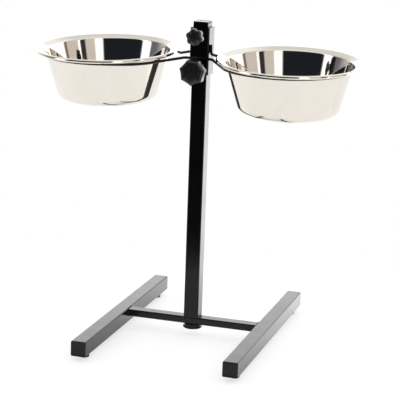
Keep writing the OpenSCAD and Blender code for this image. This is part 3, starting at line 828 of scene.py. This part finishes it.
def mould_knob(name, lobes, radius, hollow, hollow_r, height, rim):
    """A knob that stands on z = 0 with its hub below."""
    sides = lobes * LOBE_SIDES
    wall = height - CROWN - rim
    bpy.ops.mesh.primitive_cylinder_add(
        vertices=sides, radius=radius, depth=wall, location=(0, 0, wall / 2))
    knob = bpy.context.object
    knob.name = name
    bpy.ops.object.transform_apply(location=True, rotation=True, scale=True)
    edit(knob, picked="DESELECT")
    for step in range(1, LOBE_SIDES // 2 + 1):
        shrink = lobe_reach(2 * pi * step / sides, lobes, radius, hollow, hollow_r) / radius

        def in_step(vertex):
            place = round(atan2(vertex.co.x, vertex.co.y) / (2 * pi) * sides) % LOBE_SIDES
            return place in (step, LOBE_SIDES - step)

        pick(knob, "verts", in_step)
        bpy.ops.transform.resize(value=(shrink, shrink, 1), center_override=(0, 0, 0))
    bpy.ops.mesh.select_mode(type="EDGE")
    pick(knob, "edges", lambda e: all(v.co.z < NEAR for v in e.verts))
    bpy.ops.mesh.bevel(offset=KNOB_BACK_ROUND, segments=3, affect="EDGES")
    bpy.ops.mesh.select_mode(type="FACE")
    pick(knob, "faces", lambda f: f.normal.z > FACING and len(f.verts) == sides)
    size, height_now = 1.0, 0.0
    for step in range(1, RIM_STEPS + 1):
        turned = pi / 2 * step / RIM_STEPS
        share = 1 - rim * (1 - cos(turned)) / radius
        step_face(rim * sin(turned) - height_now, share / size)
        size, height_now = share, rim * sin(turned)
    for shrink, rise in CROWN_STEPS:
        step_face(CROWN * rise, shrink)
    leave()
    add_modifier(knob, "SUBSURF", levels=1, render_levels=1)
    hub = spin_hub(name + "_hub")
    add_modifier(knob, "BOOLEAN", operation="UNION", object=hub, solver="EXACT")
    bpy.data.objects.remove(hub)
    return knob


FACE_FRONT = radians(90)
STARS = {
    "upper": dict(lobes=6, radius=0.014, hollow=0.0019, hollow_r=0.009, height=0.014, rim=0.0042),
    "lower": dict(lobes=7, radius=0.0215, hollow=0.0028, hollow_r=0.062, height=0.018, rim=0.0050),
}
STAR_TURNS = {"upper": radians(43 - 90), "lower": radians(10 - 90)}
# Height of each knob's axis, and y of its head's back
KNOB_PLACES = {"upper": (0.5055, -0.0355), "lower": (0.450, -0.0395)}
for word, (knob_z, back_y) in KNOB_PLACES.items():
    knob = mould_knob(word + "_knob_moulding", **STARS[word])
    settle(knob, turn=(0, 0, STAR_TURNS[word]))
    settle(knob, (0, back_y, knob_z), (FACE_FRONT, 0, 0))
    dress(knob, knob_plastic, word + "_knob", "black_plastic", word + "_star_knob", sharp=50)
    print(word, "knob:", len(knob.data.polygons), "faces", rounded(knob.dimensions))

# %% [markdown]
# ## The clamp studs
# Each knob turns a threaded stud that presses on the column. A thread is a helix, and the Screw
# modifier winds one: a line that draws a single tooth goes round and climbs by the pitch with each
# turn. The wound surface is open at both ends, so it is cut square with bisect, which also fills
# the cut. The end that meets the column gets a tapered point.

# %% Wind the studs
PITCH, STUD_R, THREAD_ROOT, STUD_POINT = 0.00125, 0.00398, 0.00332, 0.0008
STUD_TIP_Y, TIP_SHARE, THREAD_STEPS, SPARE_TURNS = -0.0127, 0.8, 28, 5
# One tooth of the thread: radius, and height as a share of the pitch
TOOTH = (
    (THREAD_ROOT, 0), (THREAD_ROOT, 0.14), (STUD_R, 0.44),
    (STUD_R, 0.56), (THREAD_ROOT, 0.86), (THREAD_ROOT, 1),
)


def cut_off(obj, height, keep_above):
    """Cuts a piece square at a height and fills the cut."""
    edit(obj, "FACE")
    bpy.ops.mesh.bisect(
        plane_co=(0, 0, height), plane_no=(0, 0, 1), use_fill=True,
        clear_inner=keep_above, clear_outer=not keep_above,
    )
    leave()


def wind_stud(name, length):
    """A threaded stud that stands on its point at z = 0."""
    stud = draw_line(name, [Vector((r, 0, (share - 2) * PITCH)) for r, share in TOOTH])
    add_modifier(
        stud, "SCREW", axis="Z", screw_offset=PITCH, iterations=int(length / PITCH) + SPARE_TURNS,
        steps=THREAD_STEPS, render_steps=THREAD_STEPS,
        use_merge_vertices=True, merge_threshold=WELD_GAP,
    )
    tidy_mesh(stud)
    cut_off(stud, length, keep_above=False)
    cut_off(stud, STUD_POINT, keep_above=True)
    edit(stud, "FACE", "DESELECT")

    def at_cut(face):
        level = all(abs(v.co.z - STUD_POINT) < NEAR for v in face.verts)
        return level and abs(face.normal.z) > FACING

    pick(stud, "faces", at_cut)
    step_face(-STUD_POINT, TIP_SHARE)
    leave()
    tidy_mesh(stud)
    return stud


for word, (knob_z, back_y) in KNOB_PLACES.items():
    stud = wind_stud(word + "_stud_thread", STUD_TIP_Y - back_y)
    settle(stud, (0, STUD_TIP_Y, knob_z), (FACE_FRONT, 0, 0))
    dress(stud, zinc_plate, word + "_screw", "zinc_plated_steel", word + "_clamp_stud", sharp=35)
    print(word, "stud:", len(stud.data.polygons), "faces", rounded(stud.dimensions))

# %% [markdown]
# ## The weld nuts
# The studs run in hexagon nuts welded to the sleeve. A real nut has its corners turned off, which
# leaves curved edges on the six flats. The same happens here: a six-sided cylinder is cut down to
# its overlap with a turned lens, and a bore with a countersink at either end is taken out of it.

# %% Forge the nuts
NUT_FLAT_R, NUT_HEIGHT, NUT_BORE_R, NUT_CHAMFER = 0.0065, 0.0065, 0.00405, 0.0009
NUT_CORNER_R, NUT_FACE_R, LENS_PAST = NUT_FLAT_R / cos(pi / 6), NUT_FLAT_R * 0.94, 0.0002
SINK_WIDTH, SINK_DEPTH, BORE_PAST = 0.0016, 0.0006, 0.001
LENS_STEPS, BORE_STEPS, SLEEVE_HALF = 72, 48, 0.016


def forge_nut(name):
    """A chamfered nut that stands on z = 0."""
    bpy.ops.object.select_all(action="DESELECT")
    bpy.ops.mesh.primitive_cylinder_add(
        vertices=6, radius=NUT_CORNER_R, depth=NUT_HEIGHT, location=(0, 0, NUT_HEIGHT / 2))
    nut = bpy.context.object
    nut.name = name
    settle(nut, nut.location, (0, 0, pi / 6))
    wide, lens_top = NUT_CORNER_R + LENS_PAST, NUT_HEIGHT + LENS_PAST
    lens = spin_section("nut_lens", [
        (0, -LENS_PAST), (NUT_FACE_R, -LENS_PAST), (wide, NUT_CHAMFER),
        (wide, NUT_HEIGHT - NUT_CHAMFER), (NUT_FACE_R, lens_top), (0, lens_top),
    ], LENS_STEPS)
    sink_r, bore_top = NUT_BORE_R + SINK_WIDTH, NUT_HEIGHT + BORE_PAST
    bore = spin_section("nut_bore", [
        (0, -BORE_PAST), (sink_r, -BORE_PAST), (NUT_BORE_R, SINK_DEPTH),
        (NUT_BORE_R, NUT_HEIGHT - SINK_DEPTH), (sink_r, bore_top), (0, bore_top),
    ], BORE_STEPS)
    add_modifier(nut, "BOOLEAN", operation="INTERSECT", object=lens, solver="EXACT")
    add_modifier(nut, "BOOLEAN", operation="DIFFERENCE", object=bore, solver="EXACT")
    for tool in (lens, bore):
        bpy.data.objects.remove(tool)
    return nut


upper_nut = forge_nut("upper_nut_forged")
lower_nut = copy_of(upper_nut, "lower_nut_forged")
for word, nut in (("upper", upper_nut), ("lower", lower_nut)):
    knob_z = KNOB_PLACES[word][0]
    settle(nut, (0, -SLEEVE_HALF, knob_z), (FACE_FRONT, 0, 0))
    dress(nut, black_lacquer, "slider", "black_lacquer", word + "_weld_nut", sharp=30)
    print(word, "nut:", len(nut.data.polygons), "faces at height", knob_z)

# %% [markdown]
# ## The tube caps
# The open ends of the tubes are closed by moulded caps: a square flange with soft corners, a
# shallow panel inside a raised border, and a hollow plug that grips inside the tube. A cube is the
# start. Its upright edges and its rim are bevelled. The border, the plug and its hollow are all
# made by extruding a face and shrinking it: an inset would fold over at the small round corners,
# shrinking keeps them round. One cap is modelled, and copies close the four feet and the column.

# %% Mould the caps
CAP_WIDTH, CAP_FLANGE, CAP_PLUG, PLUG_SHY = 0.025, 0.003, 0.015, 0.00165
CAP_CORNER_R, CAP_CORNER_STEPS, CAP_RIM_R, CAP_RIM_STEPS = 0.0021, 5, 0.0007, 3
# Steps of the panel above and of the hollow plug below: rise, and size against the step before
PANEL_STEPS = ((0, 0.89), (-0.0003, 0.97), (-0.0001, 0.96))
PLUG_STEPS = (
    (0, 1 - 2 * PLUG_SHY / CAP_WIDTH), (-CAP_PLUG, 1), (0, 0.82), (CAP_PLUG - 0.0005, 0.98),
)


def mould_cap(name):
    """A cap with its flange above z = 0 and its plug below."""
    bpy.ops.object.select_all(action="DESELECT")
    bpy.ops.mesh.primitive_cube_add(size=1, location=(0, 0, CAP_FLANGE / 2))
    cap = bpy.context.object
    cap.name = name
    cap.scale = (CAP_WIDTH, CAP_WIDTH, CAP_FLANGE)
    settle(cap, cap.location)
    edit(cap, "EDGE", "DESELECT")
    pick(cap, "edges", lambda e: abs(e.verts[0].co.z - e.verts[1].co.z) > CAP_FLANGE / 2)
    bpy.ops.mesh.bevel(offset=CAP_CORNER_R, segments=CAP_CORNER_STEPS, affect="EDGES")
    pick(cap, "edges", lambda e: all(v.co.z > CAP_FLANGE - NEAR for v in e.verts))
    bpy.ops.mesh.bevel(offset=CAP_RIM_R, segments=CAP_RIM_STEPS, affect="EDGES")
    bpy.ops.mesh.select_mode(type="FACE")
    large = CAP_WIDTH ** 2 / 2
    for way, steps in ((1, PANEL_STEPS), (-1, PLUG_STEPS)):
        pick(cap, "faces", lambda f: f.normal.z * way > FACING and f.calc_area() > large)
        for rise, share in steps:
            step_face(rise, share)
    leave()
    return cap


COLUMN_TOP_Z, TUBE_END_Y, TUBE_Z = 0.524, 0.202, 0.0205
TUBE_X = {"left": -0.125, "right": 0.125}
CAP_SPOTS = {"column_top": ((0, 0, COLUMN_TOP_Z), (0, 0, 0))}
for word, x in TUBE_X.items():
    CAP_SPOTS[word + "_front"] = ((x, -TUBE_END_Y, TUBE_Z), (FACE_FRONT, 0, 0))
    CAP_SPOTS[word + "_rear"] = ((x, TUBE_END_Y, TUBE_Z), (-FACE_FRONT, 0, 0))
first_cap = mould_cap("cap_pattern")
for word, (spot, turn) in CAP_SPOTS.items():
    cap = copy_of(first_cap, word + "_cap_moulding")
    settle(cap, spot, turn)
    dress(cap, cap_plastic, "stand", "black_plastic", word + "_cap", sharp=35)
bpy.data.objects.remove(first_cap)
print("caps moulded:", ", ".join(CAP_SPOTS))

# %% [markdown]
# ## The rubber feet
# Four round feet of soft rubber keep the stand from sliding. Each is a turned button with a hollow
# underneath, so that only a ring of rubber touches the floor, and a barbed stem pushed through the
# tube's lower wall. Like the bowls, the foot is drawn as half its section and spun.

# %% Spin the rubber feet
FOOT_R, FOOT_H, FOOT_ROUND, FOOT_STEPS, FOOT_Y = 0.008, 0.008, 0.0015, 56, 0.177
SHOULDER_IN, SHOULDER_R, TOE_STEPS, SHOULDER_STEPS = 0.0009, 0.0007, 6, 4
FOOT_HOLLOW = [(0, 0.0012), (0.0036, 0.0012), (0.0042, 0.0009), (0.0045, 0.0002), (0.0048, 0)]
# The barbed stem: radius, and height above the button
FOOT_STEM = (
    (0.00285, 0), (0.00285, 0.0018), (0.0037, 0.0022),
    (0.0030, 0.0042), (0.0018, 0.0054), (0, 0.0054),
)


def foot_section():
    toe_middle = (FOOT_R - FOOT_ROUND, FOOT_ROUND)
    toe = arc_points(toe_middle, FOOT_ROUND, -pi / 2, 0, TOE_STEPS)
    shoulder_middle = (FOOT_R - SHOULDER_IN, FOOT_H - SHOULDER_R)
    shoulder = arc_points(shoulder_middle, SHOULDER_R, 0, pi / 2, SHOULDER_STEPS)
    return FOOT_HOLLOW + toe + shoulder + [(r, FOOT_H + h) for r, h in FOOT_STEM]


first_foot = spin_section("foot_pattern", foot_section(), FOOT_STEPS)
for end, y in (("front", -FOOT_Y), ("rear", FOOT_Y)):
    for word, x in TUBE_X.items():
        foot = copy_of(first_foot, word + "_" + end + "_rubber_foot")
        settle(foot, (x, y, 0))
        dress(foot, black_rubber, "stand", "black_rubber", word + "_" + end + "_pad", sharp=35)
bpy.data.objects.remove(first_foot)
print("rubber feet stand at y =", -FOOT_Y, "and", FOOT_Y)

# %% [markdown]
# ## The bolt head under the crossbar
# The column is held by one bolt from below. Its wide plastic head is a disc with a rounded rim, a
# collar above it and a shallow dome underneath, so it too is spun from half its section.

# %% Spin the bolt head
HEAD_R, HEAD_TOP, HEAD_RIM, HEAD_DOME = 0.016, 0.0154, 0.0025, 0.002
COLLAR_R, COLLAR_H, BOLT_HOLE_R, HEAD_STEPS = 0.0135, 0.003, 0.00405, 72
LOWER_RIM_R, UPPER_RIM_R, DOME_SHY, RIM_ARC_STEPS, DOME_STEPS = 0.0009, 0.0007, 0.0008, 4, 10
COLLAR_COVE, COLLAR_EDGE = 0.0006, 0.0004


def head_section():
    rim_foot = HEAD_TOP - HEAD_RIM
    dome_r = (HEAD_R ** 2 + HEAD_DOME ** 2) / (2 * HEAD_DOME)
    half = atan2(HEAD_R - DOME_SHY, dome_r - HEAD_DOME)
    dome_middle = (0, rim_foot - HEAD_DOME + dome_r)
    dome = arc_points(dome_middle, dome_r, -pi / 2, -pi / 2 + half, DOME_STEPS)
    lower_middle = (HEAD_R - LOWER_RIM_R, rim_foot + LOWER_RIM_R)
    lower_rim = arc_points(lower_middle, LOWER_RIM_R, -pi / 3, 0, RIM_ARC_STEPS)
    upper_middle = (HEAD_R - UPPER_RIM_R, HEAD_TOP - UPPER_RIM_R)
    upper_rim = arc_points(upper_middle, UPPER_RIM_R, 0, pi / 2, RIM_ARC_STEPS)
    collar_top = HEAD_TOP + COLLAR_H
    collar = [
        (COLLAR_R + COLLAR_COVE, HEAD_TOP), (COLLAR_R, HEAD_TOP + COLLAR_COVE),
        (COLLAR_R, collar_top - COLLAR_EDGE), (COLLAR_R - COLLAR_EDGE, collar_top),
    ]
    bore = [(BOLT_HOLE_R, collar_top), (BOLT_HOLE_R, HEAD_TOP), (0, HEAD_TOP)]
    return dome + lower_rim + upper_rim + collar + bore


bolt_head = spin_section("bolt_head_turned", head_section(), HEAD_STEPS)
dress(bolt_head, black_plastic, "stand", "black_plastic", "base_bolt_head", sharp=35)
print("bolt head:", rounded(bolt_head.dimensions))

# %% [markdown]
# ## Weld beads
# The crossbar is welded between the feet, and rods and nuts are welded to the sleeve. A bead of
# weld is a row of small overlapping puddles. It is made like a rod, along the line of the joint,
# with a thickness that swells and shrinks. The points are spread evenly first, so that the ripples
# are even.

# %% Lay the beads
BEAD_STEP, BEAD_FACETS, BEAD_RIPPLE = 0.0004, 3, 0.3


def spread_points(corners):
    """Points at even steps along a line of corners."""
    points = []
    for here, there in zip(corners, corners[1:]):
        steps = max(1, round((there - here).length / BEAD_STEP))
        points += [here.lerp(there, i / steps) for i in range(steps)]
    return points + [corners[-1]]


def lay_bead(name, corners, radius, body):
    points = spread_points([Vector(c) for c in corners])
    bead = make_rod(name, points, radius, BEAD_FACETS, BEAD_RIPPLE)
    return dress(bead, black_lacquer, body, "black_lacquer", sharp=80)


BAR_END, BAR_HALF, BAR_TOP, BAR_FOOT, BAR_ROUND = 0.1125, 0.0100, 0.0318, 0.0202, 0.001
BAR_BEAD_R, ROD_BEAD_R, NUT_BEAD_R = 0.0012, 0.0010, 0.0009
ROD_BEAD_OFF, BEAD_PROUD, NUT_BEAD_PROUD = 0.0021, 0.0003, 0.0002
STRAND_WELD_X, LEG_WELD_Z = (0.003, 0.0125), (0.013, 0.021)


def bar_loop(x):
    """Corners round the crossbar's end, from the middle of its top and back."""
    y, low, high, cut = BAR_HALF, BAR_FOOT, BAR_TOP, BAR_ROUND
    front = [(-y + cut, high), (-y, high - cut), (-y, low + cut), (-y + cut, low)]
    rear = [(y - cut, low), (y, low + cut), (y, high - cut), (y - cut, high)]
    return [(x, a, b) for a, b in [(0, high)] + front + rear + [(0, high)]]


for side, word in ((-1, "left"), (1, "right")):
    lay_bead(word + "_bar_weld", bar_loop(side * BAR_END), BAR_BEAD_R, "stand")
    proud = SLEEVE_HALF + BEAD_PROUD
    strand = [sagged(side, x, -proud, ROD_BEAD_OFF) for x in STRAND_WELD_X]
    lay_bead(word + "_strand_weld", strand, ROD_BEAD_R, "slider")
    leg = [sagged(side, proud, LEG_Y[word] + ROD_BEAD_OFF, z) for z in LEG_WELD_Z]
    lay_bead(word + "_leg_weld", leg, ROD_BEAD_R, "slider")
for word, place in KNOB_PLACES.items():
    corners = arc_points((0, place[0]), NUT_CORNER_R, 0, 2 * pi, 6)
    hexagon = [(c.x, -SLEEVE_HALF - NUT_BEAD_PROUD, c.y) for c in corners]
    lay_bead(word + "_nut_weld", hexagon, NUT_BEAD_R, "slider")
print("weld beads laid on the crossbar, the strands, the legs and the nuts")
